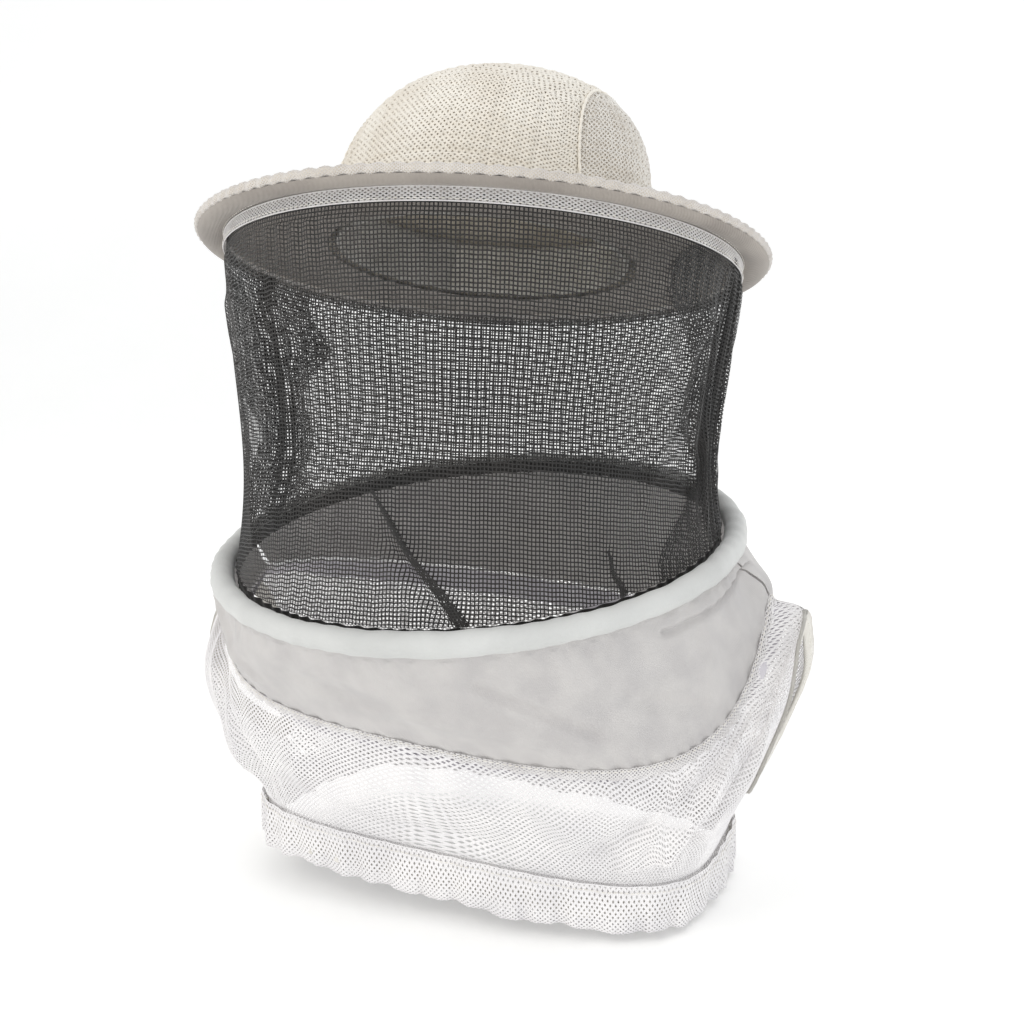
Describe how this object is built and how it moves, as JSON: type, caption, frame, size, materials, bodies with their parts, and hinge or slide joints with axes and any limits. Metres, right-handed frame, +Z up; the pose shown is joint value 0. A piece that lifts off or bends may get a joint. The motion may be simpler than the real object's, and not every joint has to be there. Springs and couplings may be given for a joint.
{
  "type": "beekeeping hat with veil and bib",
  "caption": "Ventilated round-brimmed beekeeping hat with a see-through veil, a hooped collar yoke and a short mesh bib.",
  "frame": {"origin": "middle of the hat's head opening, on the plane of the brim", "axes": "+Z up as worn, -Y the way the wearer faces, +X the wearer's left"},
  "size_m": [0.4118, 0.3556, 0.4986],
  "materials": {
    "crown_lace": "cream polyester lace over padded mesh",
    "crown_lining": "plain white knitted lining",
    "brim_under_cloth": "smooth grey-beige twill",
    "edge_lace": "bright white polyester lace",
    "yoke_cloth": "smooth light grey-white polycotton",
    "hoop_cloth": "smooth white polycotton drawn over foam",
    "hoop_foam": "grey closed-cell foam",
    "black_net": "stiff black square net",
    "bib_mesh": "white knitted air mesh",
    "binding_tape": "off-white twill tape",
    "elastic": "white woven elastic",
    "spring_steel": "bright drawn spring wire"
  },
  "bodies": {
    "hat": {"crown_center_panel": "crown_lace", "crown_left_panel": "crown_lace", "crown_right_panel": "crown_lace", "crown_lining": "crown_lining", "crown_base_piping": "crown_lace", "brim_upper_panel": "crown_lace", "brim_under_panel": "brim_under_cloth", "brim_edge_roll": "edge_lace", "brim_wire": "spring_steel", "brim_wire_ferrule": "spring_steel", "sweatband": "yoke_cloth", "sweatband_elastic": "elastic", "veil_top_tape": "edge_lace", "veil_front_panel": "black_net", "veil_back_panel": "black_net", "veil_left_seam": "black_net", "veil_right_seam": "black_net"},
    "collar": {"veil_bottom_tape": "black_net", "hoop_sleeve": "hoop_cloth", "hoop_foam": "hoop_foam", "hoop_wire": "spring_steel", "hoop_wire_ferrule": "spring_steel", "yoke_front": "yoke_cloth", "yoke_back": "yoke_cloth", "bib_front": "bib_mesh", "bib_back": "bib_mesh", "armhole_binding_left": "binding_tape", "armhole_binding_right": "binding_tape"},
    "hem": {"hem_front": "bib_mesh", "hem_back": "bib_mesh", "hem_elastic": "elastic"}
  },
  "joints": [
    {"name": "veil_fold", "type": "slide", "parent": "hat", "child": "collar", "axis": [0, 0, 1], "range_m": [0, 0.055], "deforming": ["veil_front_panel", "veil_back_panel", "veil_left_seam", "veil_right_seam"]},
    {"name": "bib_gather", "type": "slide", "parent": "collar", "child": "hem", "axis": [0, 0, 1], "range_m": [0, 0.03], "deforming": ["bib_front", "bib_back", "armhole_binding_left", "armhole_binding_right"]}
  ]
}
